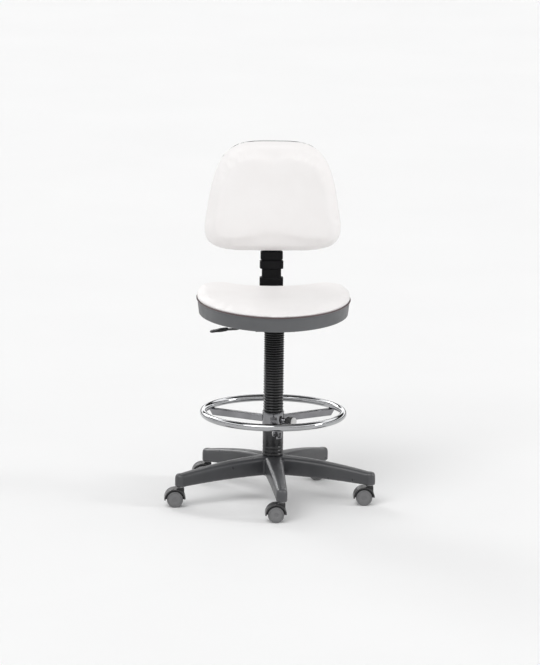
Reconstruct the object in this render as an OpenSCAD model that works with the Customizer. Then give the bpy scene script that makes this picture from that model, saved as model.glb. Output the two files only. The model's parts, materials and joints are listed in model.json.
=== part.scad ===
// Drafting chair: upholstered seat and backrest on a gas lift, with a foot ring
// on the column and a five-arm base on twin-wheel casters.
// The origin is on the floor under the column. The chair faces -Y and +Z is up. Sizes in mm.

/* [Seat] */
// Width of the seat over the upholstery
seat_w = 470; // [380:1:570]
// Depth of the seat, front to rear
seat_d = 440; // [360:1:530]
// Height of the underside of the seat's plastic band
seat_z = 564; // [465:1:680]
// Height of the plastic band round the seat
band_h = 44; // [36:1:60]
// How far the cushion stands above the band
cushion_rise = 24; // [14:1:40]
// How far the band leans in between its top and its underside
band_lean = 6; // [4:1:14]
// Thickness of the plywood seat board
board_t = 12; // [9:1:15]

// Distance of the seat's widest line behind the column
seat_wide_y = 79; // [0:1:110]

/* [Backrest] */
// Width of the backrest
back_w = 419; // [330:1:500]
// Height of the backrest
back_h = 345; // [300:1:410]
// Height of the backrest's lower edge above the floor
back_z = 728; // [700:1:860]
// Distance from the column's axis back to the middle of the backrest's front face
back_y = 215; // [200:1:250]
// Radius of the backrest's sideways curve
back_curve = 850; // [700:10:1500]
// Thickness of the backrest cushion
back_foam = 34; // [28:1:45]

// Height of the backrest's widest line above its lower edge
back_wide_h = 89; // [70:1:150]

// Share of the backrest's width that is lost at its top
back_taper = 0.17; // [0:0.01:0.2]

/* [Back bar] */
// Width of the flat steel bar that carries the backrest
bar_w = 50; // [40:1:56]
// Thickness of the flat steel bar
bar_t = 6; // [5:0.5:8]
// Inside radius of the bar's bend
bend_r = 22; // [16:1:30]

/* [Foot ring] */
// Outside diameter of the foot ring
ring_d = 450; // [375:1:540]
// Diameter of the ring's tube
ring_tube_d = 22; // [18:0.5:26]
// Height of the ring tube's centre
ring_z = 270; // [262:1:300]
// Width of each spoke
spoke_w = 20; // [14:1:26]
// Height of each spoke
spoke_h = 20; // [14:1:26]
// Diameter of the clamp knob
knob_d = 30; // [26:1:36]

/* [Column] */
// Outside diameter of the column tube
column_d = 50; // [48:0.5:54]
// Height of the top of the column tube
column_top = 430; // [400:1:450]
// Outside diameter of the plastic cover on the column tube
cover_d = 63; // [60:0.5:70]
// Height of the top of the plastic cover
cover_top = 275; // [270:1:300]
// Diameter of the gas cylinder
cylinder_d = 28; // [26:0.5:30]
// Diameter of the piston rod
rod_d = 10; // [8:0.5:12]
// How far the seat can rise from its height at rest
rise = 190; // [150:1:195]
// Number of folds in the column bellows
folds = 33; // [24:1:38]

/* [Base] */
// Distance from the column's axis to each caster's stem
base_r = 305; // [255:1:366]
// Width of each arm at the hub
arm_hub_w = 56; // [46:1:66]
// Width of each arm at its tip
arm_tip_w = 34; // [30:1:40]
// Height of the top of the hub
hub_top = 138; // [134:1:150]
// Diameter of the hub
hub_d = 66; // [62:1:80]

// Turn of the base and its casters about the column, in degrees
base_turn = 3; // [-36:1:36]
// Height of an arm at its tip
arm_tip_h = 41; // [34:1:50]

/* [Casters] */
// Diameter of the wheels
wheel_d = 50; // [42:1:60]
// Width of each wheel
wheel_w = 18.5; // [15:0.5:22]
// Distance the wheels trail behind the stem
trail = 17; // [14:0.5:20]
// Diameter of the caster stem
stem_d = 11; // [10:0.5:11]

/* [Fits] */
// Radial clearance between a turning or sliding part and its bore
run = 0.05; // [0.02:0.01:0.1]
// Gap left between parts that only lie close together
gap = 0.3; // [0.2:0.05:0.5]

/* [Hidden] */
$fn = 96;
eps = 1;
outline_step = 5;
hull_fn = 32;

// Casters and base
caster_count = 5;
first_arm = base_turn - 90;
wheel_r = wheel_d / 2;
web_w = 7;
wheel_play = 0.7;
wheel_in = web_w / 2 + wheel_play;
hood_w = 2 * (wheel_in + wheel_w);
cavity_r = wheel_r + 2;
hood_wall = 6;
hood_r = cavity_r + hood_wall;
hood_foot = 4;
web_drop = 10;
shoulder_w = 3;
boss_wall = 6;
boss_foot = wheel_r + 15;
axle_d = 8;
wheel_face = 4;
boss_top = wheel_d + 10;
tip_z = boss_top + 2;
tip_top = tip_z + arm_tip_h;
hub_lift = 13;
hub_z = tip_z + hub_lift;
stem_z = wheel_d - 1;
stem_top = tip_top - 6;
arm_wall = 5;
rib_r = (base_r + 20) / 2;

// Column and gas lift
cover_bottom = hub_top;
tube_wall = 2;
floor_t = 5;
bearing_h = 6;
bearing_z = hub_z + floor_t;
rod_foot = bearing_z + bearing_h;
rod_top = column_top - 50;
head_h = 15;
cylinder_wall = 2;
cylinder_end = 15;
cylinder_z = rod_top - head_h - rise - cylinder_end;
bush_h = 90;

// Mechanism, placed from the seat
mech_z = seat_z - 28;
mech_top = seat_z + 13;
mech_w = 120;
mech_wall = 3;
mech_front = -68;
mech_rear = 130;
flange_w = 25;
floor_cut = 45;
slot_w = 14;
board_z = mech_top;
board_top = board_z + board_t;
cylinder_top = mech_z + 20;
pin_d = 8;
pin_rise = 6;
pin_top = cylinder_top + pin_rise;
screw_d = 6;
screw_x = mech_w / 2 + 14;
screw_y = 58;
well_x = 95;
well_y = 22;

boss_r = 7;
boss_x = seat_w / 2 - 85;
boss_front = 132 - seat_d / 2;
boss_rear = seat_d / 2 - 110;
board_inset = 30;
foam_inset = 14;

// Levers
lever_d = 7;
lever_z = pin_top + lever_d / 2 + 0.2;
paddle_z = seat_z - 37;
lever_pivot = -50;
lever_pin_d = 4;
lug_y = 9;
lug_t = 3;
lug_h = 10;
lug_end = lever_pivot + 6;
paddle_tip = -197;
paddle_root = -140;
lock_d = 8;
lock_y = 65;
lock_z = seat_z - 20;
lock_tip = -151;
lock_paddle_z = seat_z - 33;

// Back bar
pivot_y = 95;
pivot_z = seat_z - 13;
pivot_d = 12;
bar_z = seat_z - 24;
bar_y = back_y + back_foam + 10;
bar_top = back_z + 208;
ear_x = 30;
ear_t = 5;

boot_w = 60;
boot_t = 20;
boot_rib_w = 73;
boot_rib_t = 28;

// Backrest layers, as radii from the axis of its curve
foam_r = back_curve + back_foam;
ply_r = foam_r + 8;
skin_r = ply_r + 2;
spine_in = foam_r + 24;
spine_r = foam_r + 28;
spine_w = 92;
channel_w = bar_w + 12;
channel_z = back_z + 33;
channel_h = 160;
knob_z = back_z + 68;

// Foot ring
ring_r = (ring_d - ring_tube_d) / 2;
collar_r = cover_d / 2 + 2;
collar_z = ring_z - 52;
collar_top = ring_z + 5;
weld = 1.5;
spoke_top = ring_z - ring_tube_d / 2 + weld;
clamp_z = ring_z - 22;
clamp_a = -30;
clamp_d = 8;
tab_a = -60;
tab_w = 21;
tab_h = 30;
tab_z = collar_z - 25;

// Bellows round the column
bellows_z = cover_top + gap;
bellows_top = mech_z - gap;
bellows_r = cover_d / 2 - 0.5;
bellows_in = column_d / 2 + 1.6;
bellows_wall = 1.2;

// Signed power, for the rounded outlines
function spow(v, p) = sign(v) * pow(abs(v), p);

// One corner of a rounded outline: width w, reach a above the widest line and b below it
function outline_pt(t, w, a, b, na, nb) = let(n = sin(t) < 0 ? nb : na)
    [w / 2 * spow(cos(t), 2 / n), (sin(t) < 0 ? b : a) * spow(sin(t), 2 / n)];

// Closed outline, widest at height m
function outline(w, m, a, b, na, nb) =
    [for (t = [0:outline_step:360 - outline_step]) outline_pt(t, w, a, b, na, nb) + [0, m]];

// Outline narrowed towards its top, from height m up over reach a
function tapered(v, m, a) = [for (p = v) [p[0] * (1 - back_taper * max(0, p[1] - m) / a), p[1]]];

// Height of fold line k of n: the folds are deeper near the floor
function fold_z(k, n) = bellows_z + (bellows_top - bellows_z) * (k / n + 0.17 * k / n * (1 - k / n));

// Zigzag of the bellows, moved inwards by d
function fold_line(d) = [for (k = [0:2 * folds])
    [(k % 2 == 0 ? bellows_in : bellows_r) - d, fold_z(k, 2 * folds)]];

function reversed(v) = [for (i = [len(v) - 1:-1:0]) v[i]];

// Seat outline drawn in by i all round
module seat_shape(i) {
    rear = seat_d / 2 - seat_wide_y;
    front = seat_d / 2 + seat_wide_y;
    polygon(outline(seat_w - 2 * i, seat_wide_y, rear - i, front - i, 3.6, 1.9));
}

// Backrest outline drawn in by i all round, standing in X and Z
module back_shape(i) {
    wide_z = back_z + back_wide_h;
    above = back_h - back_wide_h - i;
    polygon(tapered(outline(back_w - 2 * i, wide_z, above, back_wide_h - i, 4, 3.4), wide_z, above));
}

// Curved slab of the backrest between radii r1 and r2, cut to the outline given as its child
module back_slab(r1, r2) {
    intersection() {
        translate([0, back_y - back_curve, back_z - 20])
            difference() {
                cylinder(r = r2, h = back_h + 40);
                translate([0, 0, -eps])
                    cylinder(r = r1, h = back_h + 40 + 2 * eps);
            }
        translate([0, back_y + 150, 0])
            rotate([90, 0, 0])
                linear_extrude(height = 250)
                    children();
    }
}

// Round bar along Y, centred
module bar_y(r, h) {
    rotate([90, 0, 0])
        cylinder(r = r, h = h, center = true);
}

// Round bar along X from x1 to x2
module bar_x(r, x1, x2) {
    translate([x1, 0, 0])
        rotate([0, 90, 0])
            cylinder(r = r, h = x2 - x1);
}

// Puts its child at caster n's stem, unturned
module at_stem(n) {
    a = first_arm + 360 / caster_count * (n - 1);
    translate([base_r * cos(a), base_r * sin(a), 0])
        children();
}

// Puts its child at caster n's wheel centre
module at_wheels(n) {
    at_stem(n)
        translate([-trail, 0, wheel_r])
            children();
}

// Stem with the shoulder that the arm's tip rests on
module caster_stem(n) {
    color("silver")
        at_stem(n)
            union() {
                translate([0, 0, stem_z])
                    cylinder(d = stem_d, h = stem_top - stem_z);
                translate([0, 0, boss_top])
                    cylinder(d = stem_d + 2 * shoulder_w, h = tip_z - boss_top - 2 * run);
            }
}

// Hood over the wheels, with the web that holds the axle and the boss that holds the stem
module caster_hood(n) {
    color("dimgray")
        difference() {
            union() {
                at_wheels(n)
                    intersection() {
                        bar_y(hood_r, hood_w);
                        translate([-hood_r, -hood_w, hood_foot])
                            cube([2 * hood_r, 2 * hood_w, hood_r]);
                    }
                at_wheels(n)
                    intersection() {
                        bar_y(cavity_r + 3, web_w);
                        translate([-hood_r, -web_w, -web_drop])
                            cube([2 * hood_r, 2 * web_w, 2 * hood_r]);
                    }
                at_stem(n)
                    translate([0, 0, boss_foot])
                        cylinder(d = stem_d + 2 * boss_wall, h = boss_top - boss_foot);
            }
            at_wheels(n)
                for (s = [-1, 1])
                    translate([0, s * (web_w / 2 + hood_w / 2), 0])
                        bar_y(cavity_r, hood_w);
            at_wheels(n)
                bar_y(axle_d / 2 + run, hood_w);
            at_stem(n)
                translate([0, 0, stem_z])
                    cylinder(r = stem_d / 2 + run, h = boss_top);
        }
}

module caster_axle(n) {
    color("silver")
        at_wheels(n)
            bar_y(axle_d / 2, 2 * (wheel_in + wheel_w - wheel_face) - 1);
}

// Wheel on side s of the web, closed on its outer face
module caster_wheel(n, s) {
    bore = axle_d / 2 + run;
    color("black")
        at_wheels(n)
            rotate([-90 * s, 0, 0])
                translate([0, 0, wheel_in])
                    rotate_extrude()
                        polygon([
                            [0, wheel_w - wheel_face], [bore, wheel_w - wheel_face], [bore, 0],
                            [wheel_r - 2, 0], [wheel_r, 2.5], [wheel_r, wheel_w - 2.5],
                            [wheel_r - 2, wheel_w], [wheel_r - 6, wheel_w],
                            [wheel_r - 7.2, wheel_w - 1.2], [0, wheel_w - 1.2]
                        ]);
}

// The casters' parts, by number from the front, anticlockwise seen from above
module caster_1_stem() {
    caster_stem(1);
}
module caster_1_hood() {
    caster_hood(1);
}
module caster_1_axle() {
    caster_axle(1);
}
module caster_1_wheel_a() {
    caster_wheel(1, 1);
}
module caster_1_wheel_b() {
    caster_wheel(1, -1);
}

module caster_2_stem() {
    caster_stem(2);
}
module caster_2_hood() {
    caster_hood(2);
}
module caster_2_axle() {
    caster_axle(2);
}
module caster_2_wheel_a() {
    caster_wheel(2, 1);
}
module caster_2_wheel_b() {
    caster_wheel(2, -1);
}

module caster_3_stem() {
    caster_stem(3);
}
module caster_3_hood() {
    caster_hood(3);
}
module caster_3_axle() {
    caster_axle(3);
}
module caster_3_wheel_a() {
    caster_wheel(3, 1);
}
module caster_3_wheel_b() {
    caster_wheel(3, -1);
}

module caster_4_stem() {
    caster_stem(4);
}
module caster_4_hood() {
    caster_hood(4);
}
module caster_4_axle() {
    caster_axle(4);
}
module caster_4_wheel_a() {
    caster_wheel(4, 1);
}
module caster_4_wheel_b() {
    caster_wheel(4, -1);
}

module caster_5_stem() {
    caster_stem(5);
}
module caster_5_hood() {
    caster_hood(5);
}
module caster_5_axle() {
    caster_axle(5);
}
module caster_5_wheel_a() {
    caster_wheel(5, 1);
}
module caster_5_wheel_b() {
    caster_wheel(5, -1);
}

// One slice across an arm at distance r, with bevelled upper edges
module arm_slice(r, w, z1, z2) {
    bevel = 8;
    translate([r, 0, 0])
        rotate([90, 0, 90])
            linear_extrude(height = 1)
                polygon([
                    [-w / 2, z1], [w / 2, z1], [w / 2, z2 - bevel], [w / 2 - bevel, z2],
                    [bevel - w / 2, z2], [-w / 2, z2 - bevel]
                ]);
}

// Arm from the hub to the caster's socket
module arm() {
    mid_w = (arm_hub_w + arm_tip_w) / 2;
    drop = hub_top - tip_top;
    hull() {
        arm_slice(20, arm_hub_w, hub_z + 6, hub_top - 1);
        arm_slice(0.4 * base_r, mid_w + 3, tip_z + 10, hub_top - 0.22 * drop);
        arm_slice(0.75 * base_r, mid_w - 5, tip_z + 5, hub_top - 0.58 * drop);
        translate([base_r, 0, tip_z])
            cylinder(d = arm_tip_w, h = tip_top - tip_z - 7, $fn = hull_fn);
        translate([base_r, 0, tip_z])
            cylinder(d = arm_tip_w - 12, h = tip_top - tip_z, $fn = hull_fn);
    }
}

// Pocket moulded into an arm's underside between distances r1 and r2
module arm_pocket(r1, r2) {
    taper = (arm_hub_w - arm_tip_w) / base_r;
    w1 = arm_hub_w - r1 * taper - 2 * arm_wall - 2;
    w2 = arm_hub_w - r2 * taper - 2 * arm_wall - 4;
    translate([0, 0, tip_z - 20])
        linear_extrude(height = tip_top - tip_z + 11)
            polygon([[r1, -w1 / 2], [r2, -w2 / 2], [r2, w2 / 2], [r1, w1 / 2]]);
}

module base_star() {
    color("#303032")
        rotate([0, 0, first_arm])
            difference() {
                union() {
                    translate([0, 0, hub_z])
                        cylinder(d = hub_d, h = hub_top - hub_z);
                    for (k = [0:caster_count - 1])
                        rotate([0, 0, 360 / caster_count * k])
                            arm();
                }
                translate([0, 0, hub_z - eps])
                    cylinder(r = column_d / 2 + run, h = hub_top - hub_z + 2 * eps);
                for (k = [0:caster_count - 1])
                    rotate([0, 0, 360 / caster_count * k]) {
                        arm_pocket(60, rib_r - 3);
                        arm_pocket(rib_r + 3, base_r - arm_tip_w / 2 - 12);
                        translate([base_r, 0, tip_z - eps])
                            cylinder(r = stem_d / 2 + run, h = stem_top - tip_z + 1 + eps);
                    }
            }
}

// Steel tube with a closed foot, pressed into the hub
module column_tube() {
    color("#202020")
        difference() {
            translate([0, 0, hub_z])
                cylinder(d = column_d, h = column_top - hub_z);
            translate([0, 0, bearing_z])
                cylinder(r = column_d / 2 - tube_wall, h = column_top);
            translate([0, 0, hub_z - eps])
                cylinder(r = rod_d / 2 - 1 + run, h = floor_t + 2 * eps);
        }
}

module guide_bush() {
    color("whitesmoke")
        translate([0, 0, column_top - bush_h])
            difference() {
                cylinder(r = column_d / 2 - tube_wall - run, h = bush_h);
                translate([0, 0, -eps])
                    cylinder(r = cylinder_d / 2 + run, h = bush_h + 2 * eps);
            }
}

module thrust_bearing() {
    color("silver")
        translate([0, 0, bearing_z])
            difference() {
                cylinder(r = rod_d / 2 + 6, h = bearing_h);
                translate([0, 0, -eps])
                    cylinder(r = rod_d / 2 - 1 + run, h = bearing_h + 2 * eps);
            }
}

// Plastic sleeve over the column tube, with three shallow grooves near its foot
module column_cover() {
    groove = 0.8;
    color("#18181a")
        difference() {
            translate([0, 0, cover_bottom])
                cylinder(d = cover_d, h = cover_top - cover_bottom);
            translate([0, 0, cover_bottom + 6])
                cylinder(d = cover_d - 5, h = cover_top - cover_bottom - 12);
            translate([0, 0, cover_bottom - eps])
                cylinder(r = column_d / 2 + gap, h = cover_top);
            for (k = [0:2])
                translate([0, 0, cover_bottom + 8 + 11 * k])
                    difference() {
                        cylinder(d = cover_d + 2, h = 3);
                        cylinder(d = cover_d - 2 * groove, h = 3);
                    }
        }
}

// Piston rod, with its head inside the gas cylinder and its foot on the bearing
module piston_rod() {
    color("silver")
        union() {
            translate([0, 0, hub_z - 7])
                cylinder(r = rod_d / 2 - 1, h = rod_foot - hub_z + 7 + eps);
            translate([0, 0, rod_foot])
                cylinder(d = rod_d, h = rod_top - rod_foot);
            translate([0, 0, rod_foot])
                cylinder(d = rod_d + 6, h = 4);
            translate([0, 0, rod_top - head_h])
                cylinder(r = cylinder_d / 2 - cylinder_wall - run, h = head_h);
        }
}

// Clip under the column that keeps the rod in
module rod_clip() {
    color("silver")
        translate([0, 0, hub_z - 3])
            difference() {
                cylinder(r = rod_d / 2 + 4, h = 3 - gap);
                translate([0, 0, -eps])
                    cylinder(r = rod_d / 2 - 1 + run, h = 3 + eps);
            }
}

module column_bellows() {
    color("#141414")
        rotate_extrude()
            polygon(concat(fold_line(0), reversed(fold_line(bellows_wall))));
}

module foot_ring_tube() {
    color("lightgray")
        translate([0, 0, ring_z])
            rotate_extrude()
                translate([ring_r, 0])
                    circle(d = ring_tube_d);
}

// Collar that slides on the column cover, with three spokes, the clamp's boss and a tab
module foot_ring_hub() {
    color("lightgray")
        difference() {
            union() {
                translate([0, 0, collar_z])
                    cylinder(r = collar_r, h = collar_top - collar_z);
                for (a = [-90, 30, 150])
                    rotate([90, 0, a])
                        translate([0, 0, -spoke_w / 2])
                            linear_extrude(height = spoke_w)
                                polygon([
                                    [collar_r - 1, spoke_top - spoke_h], [ring_r - 8, spoke_top - spoke_h],
                                    [ring_r + 6, spoke_top], [collar_r - 1, spoke_top]
                                ]);
                rotate([0, 0, clamp_a])
                    translate([0, 0, clamp_z])
                        bar_x(10, collar_r - 1.4, collar_r + 11);
                rotate([0, 0, tab_a])
                    translate([0, -tab_w / 2, tab_z])
                        cube([collar_r + 2.5, tab_w, tab_h]);
            }
            translate([0, 0, tab_z - eps])
                cylinder(r = cover_d / 2 + run, h = collar_top - tab_z + 2 * eps);
            rotate([0, 0, clamp_a])
                translate([0, 0, clamp_z])
                    bar_x(clamp_d / 2 + run, 0, collar_r + 20);
            rotate([0, 0, tab_a])
                translate([collar_r + 0.5, -6.5, tab_z + 3])
                    cube([10, 13, 18]);
        }
}

// Plastic insert in the collar's tab
module foot_ring_tab() {
    color("black")
        rotate([0, 0, tab_a])
            translate([collar_r + 0.5, 0, tab_z + 3.3])
                rotate([90, 0, 90])
                    linear_extrude(height = 3)
                        polygon([[-4.4, 0], [4.4, 0], [6.2, 17.4], [-6.2, 17.4]]);
}

// Clamp knob and its screw, which bears on the column cover
module foot_ring_knob() {
    color("#18181a")
        rotate([0, 0, clamp_a])
            translate([0, 0, clamp_z])
                union() {
                    bar_x(clamp_d / 2, cover_d / 2 + gap, collar_r + 18);
                    bar_x(knob_d / 2, collar_r + 15, collar_r + 34);
                    bar_x(knob_d / 2 - 5, collar_r + 11.5, collar_r + 16);
                }
}

module foot_ring_knob_cap() {
    color("gainsboro")
        rotate([0, 0, clamp_a])
            translate([0, 0, clamp_z])
                union() {
                    bar_x(knob_d / 2 - 1.5, collar_r + 34, collar_r + 40);
                    bar_x(knob_d / 2 - 4, collar_r + 40, collar_r + 42.5);
                }
}

// Gas cylinder: the rod comes out of its foot and the release pin out of its top
module gas_cylinder() {
    color("#202020")
        difference() {
            translate([0, 0, cylinder_z])
                cylinder(d = cylinder_d, h = cylinder_top - cylinder_z);
            translate([0, 0, cylinder_z + cylinder_end])
                cylinder(r = cylinder_d / 2 - cylinder_wall, h = cylinder_top - cylinder_z - cylinder_end - 10);
            translate([0, 0, cylinder_z - eps])
                cylinder(r = rod_d / 2 + run, h = cylinder_end + 2 * eps);
            translate([0, 0, cylinder_top - 12])
                cylinder(r = pin_d / 2 + run, h = 12 + eps);
        }
}

module release_pin() {
    color("silver")
        translate([0, 0, cylinder_top - 16])
            cylinder(d = pin_d, h = pin_rise + 16);
}

// Pressed-steel mechanism: floor, side walls, front wall and the flanges screwed to the seat board
module mechanism_housing() {
    color("#1c1c1c")
        union() {
            housing_box();
            for (side = [-1, 1])
                lever_lug(side);
        }
}

module housing_box() {
    difference() {
        union() {
            translate([-mech_w / 2, mech_front, mech_z])
                cube([mech_w, mech_rear - mech_front, mech_top - mech_z]);
            translate([-mech_w / 2 - flange_w, mech_front, mech_top - mech_wall])
                cube([mech_w + 2 * flange_w, mech_rear - mech_front, mech_wall]);
        }
        translate([mech_wall - mech_w / 2, mech_front + mech_wall, mech_z + mech_wall])
            cube([mech_w - 2 * mech_wall, mech_rear - mech_front, mech_top - mech_z]);
        translate([mech_wall - mech_w / 2, mech_rear - floor_cut, mech_z - eps])
            cube([mech_w - 2 * mech_wall, floor_cut + eps, 2 * mech_wall]);
        translate([0, 0, mech_z - eps])
            cylinder(r = cylinder_d / 2 + gap, h = mech_wall + 2 * eps);
        translate([-mech_w / 2 - eps, -slot_w / 2, lever_z - 5])
            cube([mech_wall + 2 * eps, slot_w, 11]);
        translate([0, lock_y, lock_z])
            bar_x(lock_d / 2 + run, -mech_w / 2 - eps, 0);
        translate([0, pivot_y, pivot_z])
            bar_x(pivot_d / 2 + run, -mech_w / 2 - eps, mech_w / 2 + eps);
        for (x = [-screw_x, screw_x], y = [-screw_y, screw_y])
            translate([x, y, mech_top - mech_wall - eps])
                cylinder(r = screw_d / 2 + gap, h = mech_wall + 2 * eps);
    }
}

// Lug on the housing's side wall that holds one end of the lift lever's pin
module lever_lug(side) {
    difference() {
        translate([mech_wall - mech_w / 2 - eps, side * lug_y - lug_t / 2, lever_z - lug_h / 2])
            cube([lug_end + mech_w / 2 - mech_wall + eps, lug_t, lug_h]);
        translate([lever_pivot, 0, lever_z])
            bar_y(lever_pin_d / 2 + run, 4 * lug_y);
    }
}

module lever_pin() {
    color("silver")
        translate([lever_pivot, 0, lever_z])
            bar_y(lever_pin_d / 2, 2 * lug_y + lug_t + 1);
}

// Socket that grips the top of the gas cylinder
module taper_socket() {
    color("#2a2a2a")
        translate([0, 0, mech_z + mech_wall])
            difference() {
                cylinder(r = cylinder_d / 2 + 7, h = cylinder_top - mech_z - mech_wall - 1);
                translate([0, 0, -eps])
                    cylinder(r = cylinder_d / 2 + run, h = cylinder_top - mech_z);
            }
}

module tilt_pin() {
    color("silver")
        translate([0, pivot_y, pivot_z])
            bar_x(pivot_d / 2, -mech_w / 2 - 3, mech_w / 2 + 3);
}

module seat_board() {
    color("burlywood")
        difference() {
            translate([0, 0, board_z])
                linear_extrude(height = board_t)
                    seat_shape(board_inset);
            for (x = [-screw_x, screw_x], y = [-screw_y, screw_y])
                translate([x, y, board_z - eps])
                    cylinder(r = screw_d / 2 + run, h = board_t + 2 * eps);
        }
}

module seat_screws() {
    color("silver")
        for (x = [-screw_x, screw_x], y = [-screw_y, screw_y]) {
            translate([x, y, mech_top - mech_wall - 1])
                cylinder(d = screw_d, h = mech_wall + board_t);
            translate([x, y, mech_top - mech_wall - 4])
                cylinder(d = 2 * screw_d, h = 4);
        }
}

// Foam seat: the lower part sits inside the band and the upper part stands above it
module seat_cushion() {
    top = seat_z + band_h + cushion_rise;
    color("white")
        union() {
            translate([0, 0, board_top + gap])
                linear_extrude(height = seat_z + band_h - board_top + gap)
                    seat_shape(foam_inset);
            translate([0, 0, seat_z + band_h + gap])
                linear_extrude(height = cushion_rise - gap - 6)
                    seat_shape(0);
            translate([0, 0, top - 7])
                linear_extrude(height = 3.5)
                    seat_shape(6);
            translate([0, 0, top - 4])
                linear_extrude(height = 4)
                    seat_shape(16);
        }
}

// Outside of the band drawn in by i, leaning in towards its underside
module band_body(i, z1, z2) {
    low = i + band_lean;
    translate([0, 0, z1])
        linear_extrude(height = z2 - z1, slices = 1,
                       scale = [(seat_w - 2 * i) / (seat_w - 2 * low), (seat_d - 2 * i) / (seat_d - 2 * low)])
            seat_shape(low);
}

// Plastic pan under the seat, with a well for the mechanism and bosses up to the board
module seat_shell() {
    wall = 3;
    color("#646668")
        union() {
            difference() {
                band_body(0, seat_z, seat_z + band_h);
                band_body(wall, seat_z + wall, seat_z + band_h + eps);
                translate([-well_x, mech_front - well_y, seat_z - eps])
                    cube([2 * well_x, mech_rear - mech_front + 2 * well_y, wall + 2 * eps]);
            }
            for (x = [-boss_x, boss_x], y = [boss_front, boss_rear])
                translate([x, y, seat_z + wall - 0.5])
                    cylinder(r = boss_r, h = board_z - seat_z - wall + 0.5);
        }
}

// Round lever from x1 at height z1 down to x4 at height z2, bent at x2 and x3
module bent_lever(r, x1, x2, x3, x4, z1, z2) {
    translate([0, 0, z1])
        bar_x(r, x2, x1);
    translate([x3, 0, z2])
        rotate([0, 90 - atan2(z1 - z2, x2 - x3), 0])
            cylinder(r = r, h = norm([x2 - x3, z1 - z2]));
    translate([0, 0, z2])
        bar_x(r, x4, x3);
    translate([x2, 0, z1])
        sphere(r = r + 0.3);
    translate([x3, 0, z2])
        sphere(r = r + 0.3);
}

// Lift lever rod, bent down from the release pin to the paddle
module lift_lever() {
    out = -mech_w / 2;
    color("#202020")
        difference() {
            bent_lever(lever_d / 2, 6, out - 4, out - 48, paddle_root - 12, lever_z, paddle_z);
            translate([lever_pivot, 0, lever_z])
                bar_y(lever_pin_d / 2 + run, 2 * lever_d);
        }
}

// Paddle at the end of the lift lever
module lift_paddle() {
    color("#202022")
        difference() {
            union() {
                translate([paddle_root - 34, -11, paddle_z - 5])
                    cube([34, 22, 10]);
                translate([paddle_tip, -13, paddle_z - 3])
                    cube([paddle_root - paddle_tip - 30, 26, 6]);
            }
            translate([0, 0, paddle_z])
                bar_x(lever_d / 2 + run, paddle_root - 12.5, paddle_root + eps);
        }
}

module tilt_lock_lever() {
    out = -mech_w / 2;
    color("#202020")
        translate([0, lock_y, 0])
            bent_lever(lock_d / 2, -22, out - 8, out - 38, lock_tip + 26, lock_z, lock_paddle_z);
}

module tilt_lock_paddle() {
    color("#202022")
        difference() {
            translate([lock_tip, lock_y - 10, lock_paddle_z - 5.5])
                cube([38, 20, 11]);
            translate([0, lock_y, lock_paddle_z])
                bar_x(lock_d / 2 + run, lock_tip + 25.5, lock_tip + 40);
        }
}

// Bracket that turns on the tilt pin and carries the bar
module tilt_bracket() {
    rear = 70;
    color("#1c1c1c")
        difference() {
            union() {
                for (x = [-ear_x - ear_t, ear_x]) {
                    translate([x, pivot_y, bar_z - ear_t])
                        cube([ear_t, rear, ear_t + bar_t + 6]);
                    translate([x, pivot_y, pivot_z])
                        bar_x(pivot_d / 2 + 5, 0, ear_t);
                }
                translate([-ear_x - 1, pivot_y + 14, bar_z - ear_t])
                    cube([2 * ear_x + 2, rear - 14, ear_t - gap]);
            }
            translate([0, pivot_y, pivot_z])
                bar_x(pivot_d / 2 + run, -ear_x - 2 * ear_t, ear_x + 2 * ear_t);
        }
}

// Flat steel bar: back under the seat, then up behind the backrest
module back_bar() {
    bend_y = bar_y - bend_r;
    bend_z = bar_z + bar_t + bend_r;
    color("#1c1c1c")
        union() {
            translate([-bar_w / 2, pivot_y + 16, bar_z])
                cube([bar_w, bend_y - pivot_y - 16, bar_t]);
            translate([0, bend_y, bend_z])
                rotate([90, 0, 90])
                    rotate([0, 0, -90])
                        rotate_extrude(angle = 90)
                            translate([bend_r, -bar_w / 2])
                                square([bar_t, bar_w]);
            translate([-bar_w / 2, bar_y, bend_z])
                cube([bar_w, bar_t, bar_top - bend_z]);
        }
}

// Rubber boot round the bar between the seat and the backrest
module bar_boot() {
    mid = bar_y + bar_t / 2;
    low = seat_z + band_h + 4;
    high = back_z - 3;
    pitch = (high - low) / 4;
    color("#141414")
        difference() {
            union() {
                translate([-boot_w / 2, mid - boot_t / 2, low])
                    cube([boot_w, boot_t, high - low]);
                for (k = [0, 2, 3])
                    translate([-boot_rib_w / 2, mid - boot_rib_t / 2, low + k * pitch + 1])
                        cube([boot_rib_w, boot_rib_t, pitch - 2]);
            }
            translate([-bar_w / 2 - gap, bar_y - gap, low - eps])
                cube([bar_w + 2 * gap, bar_t + 2 * gap, high - low + 2 * eps]);
        }
}

module backrest_cushion() {
    color("white")
        back_slab(back_curve, foam_r - gap)
            back_shape(0);
}

module backrest_board() {
    color("burlywood")
        back_slab(foam_r, ply_r - gap)
            back_shape(16);
}

// Rear shell, with a hollow spine where the bar slides
module backrest_shell() {
    color("#202022")
        difference() {
            union() {
                back_slab(foam_r, skin_r)
                    back_shape(-1.5);
                back_slab(ply_r, spine_r)
                    translate([-spine_w / 2, back_z + 4])
                        square([spine_w, 232]);
            }
            back_slab(foam_r - eps, ply_r)
                back_shape(13);
            back_slab(foam_r - eps, spine_in)
                translate([-spine_w / 2 + 5, back_z - 10])
                    square([spine_w - 10, 241]);
            translate([0, bar_y + 30, knob_z])
                bar_y(9, 60);
        }
}

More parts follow.
